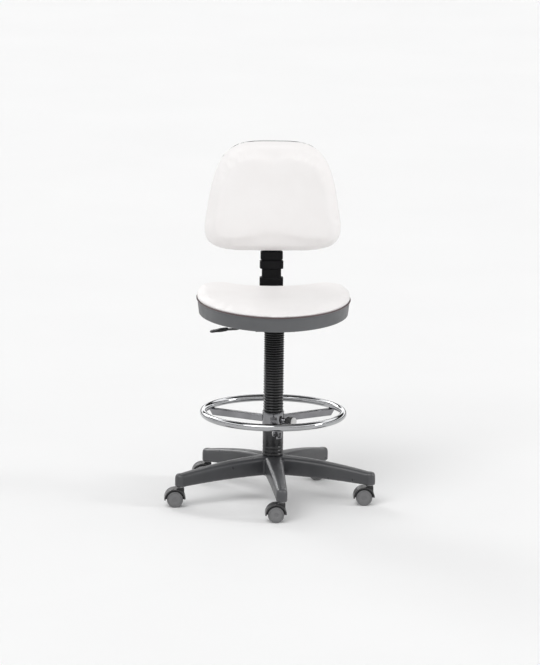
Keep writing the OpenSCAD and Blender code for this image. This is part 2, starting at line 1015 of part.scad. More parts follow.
// Steel channel on the board that slides on the bar
module backrest_channel() {
    front = foam_r - back_curve + back_y + 8;
    color("silver")
        difference() {
            translate([-channel_w / 2, front + gap, channel_z])
                cube([channel_w, bar_y + bar_t + 3.5 - front - gap, channel_h]);
            translate([-bar_w / 2 - 0.2, bar_y - 0.2, channel_z - eps])
                cube([bar_w + 0.4, bar_t + 0.4, channel_h + 2 * eps]);
            translate([0, bar_y + bar_t + 5, knob_z])
                bar_y(clamp_d / 2 + run, 10);
        }
}

// Knob at the rear that clamps the channel to the bar
module backrest_knob() {
    rear = spine_r - back_curve + back_y;
    color("#18181a")
        translate([0, 0, knob_z])
            union() {
                translate([0, (bar_y + bar_t + gap + rear + 8) / 2, 0])
                    bar_y(clamp_d / 2, rear + 8 - bar_y - bar_t - gap);
                translate([0, rear + 15, 0])
                    bar_y(18, 20);
            }
}

caster_1_stem();
caster_1_hood();
caster_1_axle();
caster_1_wheel_a();
caster_1_wheel_b();
caster_2_stem();
caster_2_hood();
caster_2_axle();
caster_2_wheel_a();
caster_2_wheel_b();
caster_3_stem();
caster_3_hood();
caster_3_axle();
caster_3_wheel_a();
caster_3_wheel_b();
caster_4_stem();
caster_4_hood();
caster_4_axle();
caster_4_wheel_a();
caster_4_wheel_b();
caster_5_stem();
caster_5_hood();
caster_5_axle();
caster_5_wheel_a();
caster_5_wheel_b();
base_star();
column_tube();
guide_bush();
thrust_bearing();
column_cover();
piston_rod();
rod_clip();
column_bellows();
foot_ring_tube();
foot_ring_hub();
foot_ring_tab();
foot_ring_knob();
foot_ring_knob_cap();
gas_cylinder();
release_pin();
mechanism_housing();
taper_socket();
tilt_pin();
seat_board();
seat_screws();
seat_cushion();
seat_shell();
lever_pin();
lift_lever();
lift_paddle();
tilt_lock_lever();
tilt_lock_paddle();
tilt_bracket();
back_bar();
bar_boot();
backrest_cushion();
backrest_board();
backrest_shell();
backrest_channel();
backrest_knob();
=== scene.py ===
import json
import math

import bmesh
import bpy
from mathutils import Matrix, Vector


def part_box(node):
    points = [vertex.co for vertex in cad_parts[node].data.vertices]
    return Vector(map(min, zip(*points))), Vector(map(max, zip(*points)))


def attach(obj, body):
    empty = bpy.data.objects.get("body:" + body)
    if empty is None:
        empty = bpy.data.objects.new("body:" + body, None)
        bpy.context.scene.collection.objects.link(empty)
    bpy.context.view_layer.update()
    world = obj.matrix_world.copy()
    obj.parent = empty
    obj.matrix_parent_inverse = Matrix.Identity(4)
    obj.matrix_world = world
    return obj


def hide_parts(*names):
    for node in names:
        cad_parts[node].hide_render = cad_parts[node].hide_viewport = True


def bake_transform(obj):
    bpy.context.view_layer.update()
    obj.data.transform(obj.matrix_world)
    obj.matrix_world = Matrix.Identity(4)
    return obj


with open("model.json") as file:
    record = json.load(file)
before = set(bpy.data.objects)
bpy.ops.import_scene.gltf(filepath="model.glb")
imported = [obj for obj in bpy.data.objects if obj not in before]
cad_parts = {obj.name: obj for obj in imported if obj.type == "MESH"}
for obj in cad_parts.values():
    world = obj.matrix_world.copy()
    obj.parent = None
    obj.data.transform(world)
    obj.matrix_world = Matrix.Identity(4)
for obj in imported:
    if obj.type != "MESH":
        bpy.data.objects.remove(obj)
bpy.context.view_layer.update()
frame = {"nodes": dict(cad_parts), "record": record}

TAU = 2 * math.pi
OUTLINE = 144      # points round a cushion's outline
ROUND = 96         # points round a turned piece
scene = bpy.context.scene


# ---- The camera and the studio ----

CAMERA_AZIMUTH = -2.4     # degrees; the camera stands slightly to -X of straight ahead
CAMERA_ELEVATION = 11.7   # degrees above the horizon
CAMERA_ROLL = 0.73        # degrees
CAMERA_DISTANCE = 16.0    # metres: a long lens, with almost no perspective
CAMERA_LENS = 283.5       # mm
CAMERA_TARGET = Vector((-0.013, 0.001, 0.520))


def make_camera():
    azimuth, elevation = math.radians(CAMERA_AZIMUTH), math.radians(CAMERA_ELEVATION)
    back = Vector((
        math.sin(azimuth) * math.cos(elevation),
        -math.cos(azimuth) * math.cos(elevation),
        math.sin(elevation),
    ))
    camera = bpy.data.objects.new("camera", bpy.data.cameras.new("camera"))
    camera.data.lens = CAMERA_LENS
    camera.data.clip_end = 200
    camera.rotation_mode = "QUATERNION"
    camera.location = CAMERA_TARGET + back * CAMERA_DISTANCE
    roll = Matrix.Rotation(math.radians(CAMERA_ROLL), 4, back)
    camera.rotation_quaternion = roll.to_quaternion() @ (-back).to_track_quat("-Z", "Y")
    scene.collection.objects.link(camera)
    scene.camera = camera


def soft_sun(name, azimuth, elevation, strength, spread):
    """Soft light from far away; azimuth is from straight ahead, towards +X."""
    light = bpy.data.lights.new(name, "SUN")
    light.energy = strength
    light.angle = math.radians(spread)
    lamp = bpy.data.objects.new(name, light)
    turn, rise = math.radians(azimuth), math.radians(elevation)
    back = Vector((math.sin(turn) * math.cos(rise), -math.cos(turn) * math.cos(rise), math.sin(rise)))
    lamp.rotation_mode = "QUATERNION"
    lamp.rotation_quaternion = (-back).to_track_quat("-Z", "Y")
    scene.collection.objects.link(lamp)


# What reflections see of the surround: places from the bottom, 0, to the top, 1, and their brightness
SURROUND_BANDS = (
    (0.44, 0.4), (0.49, 0.0), (0.555, 0.0), (0.57, 3.4), (0.62, 3.4), (0.64, 0.02),
    (0.73, 0.02), (0.76, 3.4), (0.85, 3.4), (0.87, 0.1), (0.94, 0.1),
)
SURROUND_STRENGTH = 0.55
FLOOR_REACH = 40          # metres from the middle to the floor's edge


def make_studio():
    """White room with soft lights; only reflections see the surround's dark bands."""
    scene.view_settings.view_transform = "Standard"
    soft_sun("key", -32, 50, 1.30, 40)
    soft_sun("side", 76, 20, 0.75, 14)
    soft_sun("rim", -150, 28, 0.60, 24)

    world = bpy.data.worlds.new("surround")
    world.use_nodes = True
    nodes, links = world.node_tree.nodes, world.node_tree.links
    background = nodes["Background"]
    coords = nodes.new("ShaderNodeTexCoord")
    split = nodes.new("ShaderNodeSeparateXYZ")
    bands = nodes.new("ShaderNodeValToRGB")
    stops = bands.color_ramp.elements
    stops[0].position, stops[0].color = 0.0, (0.5, 0.5, 0.5, 1)
    stops[1].position, stops[1].color = 1.0, (1.4, 1.4, 1.4, 1)
    for place, shade in SURROUND_BANDS:
        stop = stops.new(place)
        stop.color = (shade, shade, shade, 1)
    rescale = nodes.new("ShaderNodeMapRange")
    rescale.inputs["From Min"].default_value = -1
    links.new(coords.outputs["Generated"], split.inputs[0])
    links.new(split.outputs["Z"], rescale.inputs["Value"])
    links.new(rescale.outputs[0], bands.inputs[0])
    plain = nodes.new("ShaderNodeMix")
    plain.data_type = "RGBA"
    plain.inputs["A"].default_value = (1, 1, 1, 1)
    path = nodes.new("ShaderNodeLightPath")
    links.new(path.outputs["Is Glossy Ray"], plain.inputs["Factor"])
    links.new(bands.outputs["Color"], plain.inputs["B"])
    links.new(plain.outputs["Result"], background.inputs["Color"])
    background.inputs["Strength"].default_value = SURROUND_STRENGTH
    scene.world = world

    bm = bmesh.new()
    bmesh.ops.create_grid(bm, x_segments=8, y_segments=8, size=FLOOR_REACH)
    mesh = bpy.data.meshes.new("floor")
    bm.to_mesh(mesh)
    bm.free()
    floor = bpy.data.objects.new("floor", mesh)
    mesh.materials.append(MATERIALS["floor"])
    scene.collection.objects.link(floor)


# ---- Materials ----

MATERIALS = {}


class Shader:
    """A principled material whose pattern is measured in metres on the object."""

    def __init__(self, name, metallic=0.0, **sockets):
        self.material = bpy.data.materials.new(name)
        self.material.use_nodes = True
        self.nodes, self.links = self.material.node_tree.nodes, self.material.node_tree.links
        self.out = self.nodes["Principled BSDF"]
        self.out.inputs["Metallic"].default_value = metallic
        for socket, value in sockets.items():
            self.out.inputs[socket.replace("_", " ")].default_value = value
        self.coords = self.nodes.new("ShaderNodeTexCoord").outputs["Object"]
        self.last_bump = None
        MATERIALS[name] = self.material

    def stretched(self, scale):
        mapping = self.nodes.new("ShaderNodeMapping")
        mapping.inputs["Scale"].default_value = scale
        self.links.new(self.coords, mapping.inputs["Vector"])
        return mapping.outputs["Vector"]

    def noise(self, scale, detail=4.0, where=None):
        node = self.nodes.new("ShaderNodeTexNoise")
        node.inputs["Scale"].default_value = scale
        node.inputs["Detail"].default_value = detail
        self.links.new(where or self.coords, node.inputs["Vector"])
        return node.outputs["Fac"]

    def cells(self, scale, where=None):
        node = self.nodes.new("ShaderNodeTexVoronoi")
        node.feature = "DISTANCE_TO_EDGE"
        node.inputs["Scale"].default_value = scale
        self.links.new(where or self.coords, node.inputs["Vector"])
        return node.outputs["Distance"]

    def span(self, value, low, high, start=0.3, stop=0.7):
        node = self.nodes.new("ShaderNodeMapRange")
        node.inputs["From Min"].default_value = start
        node.inputs["From Max"].default_value = stop
        node.inputs["To Min"].default_value = low
        node.inputs["To Max"].default_value = high
        self.links.new(value, node.inputs["Value"])
        return node.outputs[0]

    def blend(self, factor, first, second):
        node = self.nodes.new("ShaderNodeMix")
        node.data_type = "RGBA"
        for socket, colour in (("A", first), ("B", second)):
            if isinstance(colour, tuple):
                node.inputs[socket].default_value = (*colour, 1)
            else:
                self.links.new(colour, node.inputs[socket])
        self.links.new(factor, node.inputs["Factor"])
        return node.outputs["Result"]

    def colour(self, value):
        self.links.new(value, self.out.inputs["Base Color"])

    def roughness(self, value):
        self.links.new(value, self.out.inputs["Roughness"])

    def bump(self, height, depth, strength=1.0):
        node = self.nodes.new("ShaderNodeBump")
        node.inputs["Strength"].default_value = strength
        node.inputs["Distance"].default_value = depth
        self.links.new(height, node.inputs["Height"])
        if self.last_bump:
            self.links.new(self.last_bump, node.inputs["Normal"])
        self.last_bump = node.outputs["Normal"]
        self.links.new(self.last_bump, self.out.inputs["Normal"])

    def edges(self, low=0.5, high=0.56):
        """0 on flat ground and 1 along sharp edges: the mask for edge wear and for a painted highlight where
        edges would catch the light.
        """
        geometry = self.nodes.new("ShaderNodeNewGeometry")
        return self.span(geometry.outputs["Pointiness"], 0.0, 1.0, low, high)


def moulded(name, dark, light, edge_wear_and_highlight, rough=(0.38, 0.52), grain=0.00012, specular=0.5):
    """Moulded plastic: fine spark-eroded grain, cloudy colour, paler along edges, which is partly wear and
    partly a painted edge highlight.
    """
    shader = Shader(name, Specular_IOR_Level=specular)
    cloudy = shader.blend(shader.span(shader.noise(9, 5), 0, 1), dark, light)
    fleck = shader.blend(shader.span(shader.noise(900, 2), 0.0, 0.35, 0.45, 0.75), cloudy, light)
    # Edges take the paler colour: partly wear, partly a painted highlight along edges that would catch the
    # light
    shader.colour(shader.blend(shader.span(shader.edges(), 0, 0.5, 0, 1), fleck, edge_wear_and_highlight))
    shader.roughness(shader.span(shader.noise(35, 4), *rough))
    shader.bump(shader.noise(1700, 2), grain, 0.5)
    return shader


def make_materials():
    vinyl = Shader("upholstery", Sheen_Weight=0.04, Coat_Weight=0.06, Coat_Roughness=0.4)
    cloudy = vinyl.span(vinyl.noise(7, 4), 0, 1)
    vinyl.colour(vinyl.blend(cloudy, (0.885, 0.868, 0.862), (0.85, 0.828, 0.820)))
    vinyl.roughness(vinyl.span(vinyl.noise(60, 5), 0.42, 0.58))
    vinyl.bump(vinyl.noise(28, 3), 0.0009, 0.25)
    vinyl.bump(vinyl.span(vinyl.cells(620), 0, 1, 0.0, 0.25), 0.00016, 0.45)
    vinyl.bump(vinyl.noise(2100, 2), 0.00006, 0.3)

    welt = Shader("piping", Sheen_Weight=0.03)
    welt.colour(welt.blend(welt.span(welt.noise(300, 3), 0, 1), (0.075, 0.045, 0.048), (0.12, 0.08, 0.082)))
    welt.roughness(welt.span(welt.noise(200, 3), 0.45, 0.6))
    welt.bump(welt.noise(1500, 2), 0.0001, 0.5)

    # Each plastic's third colour is its paler edge colour: partly wear, partly a painted edge highlight
    moulded("seat_plastic", (0.085, 0.088, 0.092), (0.115, 0.118, 0.123), (0.22, 0.22, 0.225),
            (0.36, 0.5), 0.0002, 0.35)
    moulded("black_plastic", (0.008, 0.008, 0.009), (0.013, 0.013, 0.014), (0.05, 0.05, 0.052),
            (0.22, 0.34), 0.00012, 0.4)
    moulded("base_nylon", (0.034, 0.035, 0.038), (0.054, 0.055, 0.059), (0.20, 0.20, 0.205),
            (0.27, 0.38), 0.00004)
    moulded("caster_plastic", (0.012, 0.012, 0.013), (0.020, 0.020, 0.021), (0.09, 0.09, 0.092), (0.25, 0.38))
    moulded("wheel_plastic", (0.13, 0.13, 0.133), (0.165, 0.165, 0.168), (0.24, 0.24, 0.243), (0.38, 0.5))
    moulded("grey_cap", (0.5, 0.5, 0.5), (0.58, 0.58, 0.575), (0.7, 0.7, 0.69), (0.3, 0.42))
    moulded("bush_plastic", (0.7, 0.7, 0.68), (0.78, 0.78, 0.76), (0.85, 0.85, 0.84), (0.3, 0.42))
    moulded("boot_matte", (0.004, 0.004, 0.0045), (0.007, 0.007, 0.0075), (0.02, 0.02, 0.022),
            (0.35, 0.5), 0.0001, 0.1)
    moulded("boot_rubber", (0.005, 0.005, 0.0055), (0.009, 0.009, 0.0095), (0.03, 0.03, 0.032),
            (0.16, 0.24), 0.00006, 0.5)

    chrome = Shader("chrome", 1.0)
    cloudy = chrome.span(chrome.noise(14, 4), 0, 1)
    chrome.colour(chrome.blend(cloudy, (0.46, 0.465, 0.475), (0.39, 0.395, 0.405)))
    chrome.roughness(chrome.span(chrome.noise(45, 6), 0.05, 0.13))
    chrome.bump(chrome.noise(240, 3), 0.00004, 0.25)

    plated = Shader("plated_steel", 1.0)
    cloudy = plated.span(plated.noise(16, 5), 0, 1)
    plated.colour(plated.blend(cloudy, (0.27, 0.27, 0.28), (0.20, 0.20, 0.21)))
    plated.roughness(plated.span(plated.noise(60, 6), 0.10, 0.2))
    plated.bump(plated.noise(180, 3), 0.00006, 0.3)

    painted = Shader("black_steel", 0.0, Coat_Weight=0.2, Coat_Roughness=0.25)
    # Paler along sharp edges: partly worn paint, partly a painted edge highlight
    edge_wear_and_highlight = painted.span(painted.edges(), 0, 0.6, 0, 1)
    painted.colour(painted.blend(edge_wear_and_highlight, (0.020, 0.020, 0.021), (0.09, 0.09, 0.09)))
    painted.roughness(painted.span(painted.noise(50, 4), 0.3, 0.45))
    painted.bump(painted.noise(420, 3), 0.00012, 0.5)

    steel = Shader("bright_steel", 1.0)
    lines = steel.noise(1, 6, steel.stretched((900, 900, 25)))
    steel.colour(steel.blend(steel.span(lines, 0, 1), (0.60, 0.60, 0.61), (0.47, 0.47, 0.48)))
    steel.roughness(steel.span(lines, 0.22, 0.38))
    steel.bump(lines, 0.00003, 0.4)

    wood = Shader("plywood")
    grain = wood.noise(1, 6, wood.stretched((9, 120, 400)))
    plies = wood.noise(1, 1, wood.stretched((0.5, 0.5, 520)))
    tone = wood.blend(wood.span(grain, 0, 1), (0.62, 0.45, 0.27), (0.44, 0.29, 0.16))
    wood.colour(wood.blend(wood.span(plies, 0, 0.5), tone, (0.33, 0.21, 0.12)))
    wood.roughness(wood.span(grain, 0.5, 0.7))
    wood.bump(grain, 0.0002, 0.4)

    ground = Shader("floor")
    cloudy = ground.span(ground.noise(1.3, 3), 0, 1)
    ground.colour(ground.blend(cloudy, (0.90, 0.90, 0.90), (0.915, 0.915, 0.915)))
    ground.roughness(ground.span(ground.noise(3, 3), 0.7, 0.85))


# ---- Mesh helpers ----

def fillet(points, radius, steps=5, closed=False):
    """Rounds the corners of a run of 2-D or 3-D points."""
    rounded, count = [], len(points)
    for i, corner in enumerate(points):
        corner = Vector(corner)
        if not closed and i in (0, count - 1):
            rounded.append(corner)
            continue
        before, after = Vector(points[i - 1]) - corner, Vector(points[(i + 1) % count]) - corner
        cut = min(radius, 0.48 * before.length, 0.48 * after.length)
        start, end = corner + before.normalized() * cut, corner + after.normalized() * cut
        for k in range(steps + 1):
            t = k / steps
            rounded.append((1 - t) ** 2 * start + 2 * t * (1 - t) * corner + t * t * end)
    return rounded


def arc(radius, first, last, steps=24, centre=(0.0, 0.0)):
    """Points on an arc, in degrees."""
    turns = [math.radians(first + (last - first) * k / steps) for k in range(steps + 1)]
    return [Vector((centre[0] + radius * math.cos(a), centre[1] + radius * math.sin(a))) for a in turns]


def rounded_rect(width, height, radius, steps=4):
    x, y = width / 2, height / 2
    return fillet([(-x, -y), (x, -y), (x, y), (-x, y)], radius, steps, closed=True)


def superellipse(width, middle, above, below, power_above, power_below, inset=0.0, count=OUTLINE):
    """Rounded outline, widest at height middle; the two halves have their own reach and squareness."""
    points = []
    for k in range(count):
        turn = TAU * k / count
        c, s = math.cos(turn), math.sin(turn)
        power = 2 / (power_above if s >= 0 else power_below)
        reach = (above if s >= 0 else below) - inset
        x = (width / 2 - inset) * math.copysign(abs(c) ** power, c)
        y = middle + reach * math.copysign(abs(s) ** power, s)
        points.append(Vector((x, y)))
    return points


def even(points, count=OUTLINE):
    """The same closed outline with evenly spaced points, starting at the first."""
    lengths, total = [0.0], 0.0
    size = len(points)
    for k in range(size):
        total += (points[(k + 1) % size] - points[k]).length
        lengths.append(total)
    spaced, k = [], 0
    for n in range(count):
        want = total * n / count
        while lengths[k + 1] < want:
            k += 1
        part = (want - lengths[k]) / max(lengths[k + 1] - lengths[k], 1e-9)
        spaced.append(points[k].lerp(points[(k + 1) % size], part))
    return spaced


def loft(rings, caps=(True, True), loop=False):
    """Skin over rings of points that all have the same count."""
    bm = bmesh.new()
    rows = [[bm.verts.new(p) for p in ring] for ring in rings]
    pairs = list(zip(rows, rows[1:])) + ([(rows[-1], rows[0])] if loop else [])
    for low, high in pairs:
        for k in range(len(low)):
            n = (k + 1) % len(low)
            bm.faces.new((low[k], low[n], high[n], high[k]))
    if not loop and caps[0]:
        bm.faces.new(rows[0])
    if not loop and caps[1]:
        bm.faces.new(rows[-1])
    return bm


def turned(profile, segments=ROUND, closed=True, wave=None):
    """Solid of revolution about Z from (radius, height) points; wave(turn, height) scales the radius."""
    rings = []
    for k in range(segments):
        turn = TAU * k / segments
        ring = []
        for radius, height in profile:
            r = radius * (wave(turn, height) if wave else 1.0)
            ring.append(Vector((r * math.cos(turn), r * math.sin(turn), height)))
        rings.append(ring)
    bm = bmesh.new()
    rows = [[bm.verts.new(p) for p in ring] for ring in rings]
    size = len(profile)
    for k in range(segments):
        here, there = rows[k], rows[(k + 1) % segments]
        for i in range(size if closed else size - 1):
            n = (i + 1) % size
            bm.faces.new((here[i], there[i], there[n], here[n]))
    return bm


def rod(radius, low, high, segments=32):
    """Round bar about Z between two heights."""
    return turned([(0, low), (radius, low), (radius, high), (0, high)], segments, closed=False)


def about_z(degrees):
    return Matrix.Rotation(math.radians(degrees), 4, "Z")


def swept(path, section, side, caps=(True, True)):
    """Section carried along a flat path; side is the normal of the path's plane."""
    side = Vector(side).normalized()
    rings = []
    for i, point in enumerate(path):
        ahead = path[min(i + 1, len(path) - 1)] - path[max(i - 1, 0)]
        normal = side.cross(ahead).normalized()
        rings.append([point + side * a + normal * b for a, b in section])
    return loft(rings, caps)


def bevelled(bm, width, segments=3, angle=25):
    """Rounds the sharp edges of a plain mesh."""
    bmesh.ops.remove_doubles(bm, verts=bm.verts, dist=1e-6)
    bmesh.ops.recalc_face_normals(bm, faces=bm.faces)
    sharp = [e for e in bm.edges if e.is_manifold and e.calc_face_angle(0) > math.radians(angle)]
    bmesh.ops.bevel(bm, geom=sharp, offset=width, segments=segments, profile=0.5, affect="EDGES")
    return bm


def block(low, high):
    bm = bmesh.new()
    bmesh.ops.create_cube(bm, size=1)
    low, high = Vector(low), Vector(high)
    size, middle = high - low, (low + high) / 2
    bm.transform(Matrix.Translation(middle) @ Matrix.Diagonal((*size, 1)))
    return bm


def prism(outline, low, high):
    """Outline in X and Y, raised from height low to high."""
    return loft([[Vector((x, y, z)) for x, y in outline] for z in (low, high)])


def merged(*parts):
    """Several meshes in one, left as separate shells."""
    whole = bmesh.new()
    for part in parts:
        mesh = bpy.data.meshes.new("part")
        part.to_mesh(mesh)
        part.free()
        whole.from_mesh(mesh)
        bpy.data.meshes.remove(mesh)
    return whole


def piece(name, bm, body, slot, covers=(), sharp=32, material=None, ride=True):
    """Turns a mesh into a named piece on a body, standing for the CAD nodes it covers."""
    bmesh.ops.remove_doubles(bm, verts=bm.verts, dist=1e-6)
    bmesh.ops.dissolve_degenerate(bm, edges=bm.edges, dist=1e-7)
    bmesh.ops.recalc_face_normals(bm, faces=bm.faces)
    mesh = bpy.data.meshes.new(name)
    bm.to_mesh(mesh)
    bm.free()
    finish_shading(mesh, sharp)
    mesh.materials.append(MATERIALS[material or slot])
    made = bpy.data.objects.new(name, mesh)
    scene.collection.objects.link(made)
    return settle(made, body, covers, ride)


def settle(made, body, covers=(), ride=True):
    if ride:
        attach(made, body)
    if covers:
        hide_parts(*covers)
    return made


def finish_shading(mesh, sharp):
    mesh.shade_smooth()
    if sharp:
        mesh.set_sharp_from_angle(angle=math.radians(sharp))


def with_modifiers(made):
    """The piece's mesh with its modifiers applied."""
    graph = bpy.context.evaluated_depsgraph_get()
    graph.update()
    mesh = bpy.data.meshes.new_from_object(made.evaluated_get(graph))
    made.modifiers.clear()
    old, made.data = made.data, mesh
    bpy.data.meshes.remove(old)
    return made


def fused(made, voxel, smoothing=4, sharp=None):
    """Joins a piece's overlapping shells into one moulded skin with soft inner corners."""
    remesh = made.modifiers.new("fuse", "REMESH")
    remesh.mode = "VOXEL"
    remesh.voxel_size = voxel
    smooth = made.modifiers.new("soften", "SMOOTH")
    smooth.factor = 0.5
    smooth.iterations = smoothing
    with_modifiers(made)
    finish_shading(made.data, sharp)
    return made


def along(axis_from, axis_to):
    """Matrix that stands a piece turned about Z on the line between two points."""
    start, end = Vector(axis_from), Vector(axis_to)
    turn = (end - start).to_track_quat("Z", "Y").to_matrix().to_4x4()
    return Matrix.Translation(start) @ turn


CLOTH_VOXEL = 0.005       # metres between the skin's points
CLOTH_PRESSURE = 4.0
CLOTH_STIFFNESS = 12.0
CLOTH_FRAMES = 20


def inflated(made, cap, held):
    """Cloth simulation: the skin swells by at most cap; held(point) is 1 where a point is fixed."""
    remesh = made.modifiers.new("even", "REMESH")
    remesh.mode = "VOXEL"
    remesh.voxel_size = CLOTH_VOXEL
    with_modifiers(made)
    start = [v.co.copy() for v in made.data.vertices]
    moved = start
    group = made.vertex_groups.new(name="held")
    for i, point in enumerate(start):
        group.add([i], held(point), "REPLACE")
    cloth = made.modifiers.new("cloth", "CLOTH")
    cloth.settings.quality = 5
    cloth.settings.mass = 0.3
    cloth.settings.tension_stiffness = CLOTH_STIFFNESS
    cloth.settings.compression_stiffness = CLOTH_STIFFNESS
    cloth.settings.bending_stiffness = 4
    cloth.settings.use_pressure = True
    cloth.settings.uniform_pressure_force = CLOTH_PRESSURE
    cloth.settings.vertex_group_mass = "held"
    cloth.settings.effector_weights.gravity = 0
    for step in range(1, CLOTH_FRAMES + 1):
        scene.frame_set(step)
    graph = bpy.context.evaluated_depsgraph_get()
    result = made.evaluated_get(graph).to_mesh()
    moved = [v.co.copy() for v in result.vertices]
    made.evaluated_get(graph).to_mesh_clear()
    made.modifiers.clear()
    made.vertex_groups.clear()
    scene.frame_set(1)
    for vertex, before, after in zip(made.data.vertices, start, moved):
        step = after - before
        if step.length > cap:
            step *= cap / step.length
        vertex.co = before + step * (1 - held(before))
    smooth = made.modifiers.new("soften", "SMOOTH")
    smooth.iterations = 6
    finer = made.modifiers.new("finer", "SUBSURF")
    finer.levels = finer.render_levels = 1
    with_modifiers(made)
    finish_shading(made.data, None)
    return made


def ease(value, low, high):
    """0 below low, 1 above high and smooth between."""
    t = min(max((value - low) / (high - low), 0.0), 1.0)
    return t * t * (3 - 2 * t)


# ---- Seat ----

SEAT_LOW, SEAT_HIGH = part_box("seat_cushion")
BAND_LOW, BAND_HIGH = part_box("seat_shell")
SEAT_DEPTH = SEAT_HIGH.y - SEAT_LOW.y
SEAT_WIDTH = SEAT_HIGH.x - SEAT_LOW.x
BAND_TOP = BAND_HIGH.z
BAND_LEAN = 0.006         # how far the band's foot stands in from its top
SEAT_WIDE = 0.68          # share of the depth in front of the widest line
OVERHANG = 0.005          # how far the cushion swells out past the band


def seat_outline(inset=0.0):
    return even(superellipse(
        SEAT_WIDTH, SEAT_LOW.y + SEAT_WIDE * SEAT_DEPTH, (1 - SEAT_WIDE) * SEAT_DEPTH, SEAT_WIDE * SEAT_DEPTH,
        3.6, 1.9, inset))


def seat_crown(x, y):
    """Height of the cushion's top over its edge height: two rear corners, a dip and a falling front."""
    side = abs(x) / (SEAT_WIDTH / 2)
    back = (y - SEAT_LOW.y) / SEAT_DEPTH
    corners = 0.010 * ease(side, 0.30, 0.80) * ease(back, 0.45, 0.9)
    dip = -0.003 * (1 - ease(side, 0.0, 0.7)) * ease(back, 0.3, 0.75)
    front = -0.008 * (1 - ease(back, 0.02, 0.45))
    return corners + dip + front


def make_seat_cushion():
    top = SEAT_HIGH.z - 0.003
    edge = BAND_TOP + 0.0012
    tuck = 0.014
    steps = [(SEAT_LOW.z + 0.002, tuck + 0.004), (edge - 0.006, tuck), (edge - 0.001, 0.007)]
    steps += [(edge + 0.002, 0.0005), (edge + 0.006, -OVERHANG), (edge + 0.0115, -OVERHANG * 0.8)]
    steps += [(top - 0.0065, 0.003)]
    steps += [(top - 0.0028, 0.010), (top - 0.0008, 0.020), (top, 0.034)]
    rings = []
    for height, inset in steps:
        lift = ease(height, edge, top)
        rings.append([Vector((x, y, height + lift * seat_crown(x, y))) for x, y in seat_outline(inset)])
    middle = Vector((0, SEAT_LOW.y + 0.6 * SEAT_DEPTH))
    rim = seat_outline(0.034)
    for shrink in (0.8, 0.6, 0.4, 0.2, 0.05):
        ring = [middle.lerp(p, shrink) for p in rim]
        rings.append([Vector((x, y, top + 0.001 * (1 - shrink) + seat_crown(x, y))) for x, y in ring])
    cushion = piece("seat_cushion_pad", loft(rings), None, "upholstery", ["seat_cushion"], ride=False)
    inflated(cushion, 0.005, lambda p: 1.0 - ease(p.z, edge - 0.002, edge + 0.006))
    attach(cushion, "seat")

    welt = 0.0017
    path = [Vector((x, y, BAND_TOP + 0.0014)) for x, y in seat_outline(0.0)]
    rings = []
    for k, point in enumerate(path):
        ahead = (path[(k + 1) % len(path)] - path[k - 1]).normalized()
        out = Vector((ahead.y, -ahead.x, 0))
        rings.append([point + out * a + Vector((0, 0, b)) for a, b in arc(welt, 0, 337.5, 15)])
    piece("seat_piping", loft(rings, loop=True), "seat", "upholstery", material="piping", sharp=None)


def make_seat_shell():
    """Plastic pan: outer band with a rolled top edge, a rounded foot and a well for the mechanism."""
    wall, foot = 0.003, 0.0035
    height = BAND_TOP - BAND_LOW.z
    profile = [(0.0, BAND_TOP - 0.0012), (0.0002, BAND_TOP - 0.0022), (0.0018, BAND_TOP - 0.0036)]
    profile += [(0.0018, BAND_TOP - 0.0046)]
    for k in range(1, 9):
        t = k / 8
        profile.append((0.0018 + (BAND_LEAN - 0.0018) * t, BAND_TOP - 0.0046 - t * (height - 0.0046 - foot)))
    for k in range(1, 6):
        turn = math.radians(90 * k / 5)
        profile.append((BAND_LEAN + foot * (1 - math.cos(turn)), BAND_LOW.z + foot * (1 - math.sin(turn))))
    rings = [[Vector((x, y, z)) for x, y in seat_outline(inset)] for inset, z in profile]

    well_low, well_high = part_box("mechanism_housing")
    well = rounded_rect(0.19, well_high.y - well_low.y + 0.044, 0.018, 8)
    shift = Vector((0, (well_low.y + well_high.y) / 2))
    well = even([p + shift for p in well])
    start = min(range(len(well)), key=lambda k: -well[k].x + 3 * abs(well[k].y - 0.08))
    well = well[start:] + well[:start]
    if (well[5] - well[0]).y < 0:
        well = [well[0]] + well[:0:-1]
    last = rings[-1]
    for t in (0.33, 0.66, 1.0):
        rings.append([p.lerp(Vector((q.x, q.y, BAND_LOW.z)), t) for p, q in zip(last, well)])
    rings.append([Vector((q.x, q.y, BAND_LOW.z + wall + 0.003)) for q in well])
    inner = [Vector((q.x * 1.03, q.y * 1.03, BAND_LOW.z + wall)) for q in well]
    rings.append(inner)
    base = [Vector((x, y, BAND_LOW.z + wall)) for x, y in seat_outline(BAND_LEAN + foot + wall)]
    for t in (0.5, 1.0):
        rings.append([p.lerp(q, t) for p, q in zip(inner, base)])
    rings.append([Vector((x, y, BAND_TOP - 0.006)) for x, y in seat_outline(wall + 0.001)])
    rings.append([Vector((x, y, BAND_TOP - 0.0002)) for x, y in seat_outline(wall)])
    rings.append([Vector((x, y, BAND_TOP)) for x, y in seat_outline(0.0012)])
    piece("seat_band", loft(rings, loop=True), "seat", "seat_plastic", ["seat_shell"], sharp=40)


# ---- Backrest ----

PAD_LOW, PAD_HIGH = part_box("backrest_cushion")
PAD_WIDTH, PAD_HEIGHT = PAD_HIGH.x - PAD_LOW.x, PAD_HIGH.z - PAD_LOW.z
SHELL_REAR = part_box("backrest_shell")[1].y
BACK_CURVE = 0.850       # radius of the pad's front, seen from above
PAD_DEPTH = 0.0337       # from the pad's front to the rear shell
BACK_WIDE = 0.089        # height of the widest line above the pad's lower edge
BACK_TAPER = 0.17        # share of the width lost at the top
DISH_RINGS = 80          # rings of points over the rear shell's dish


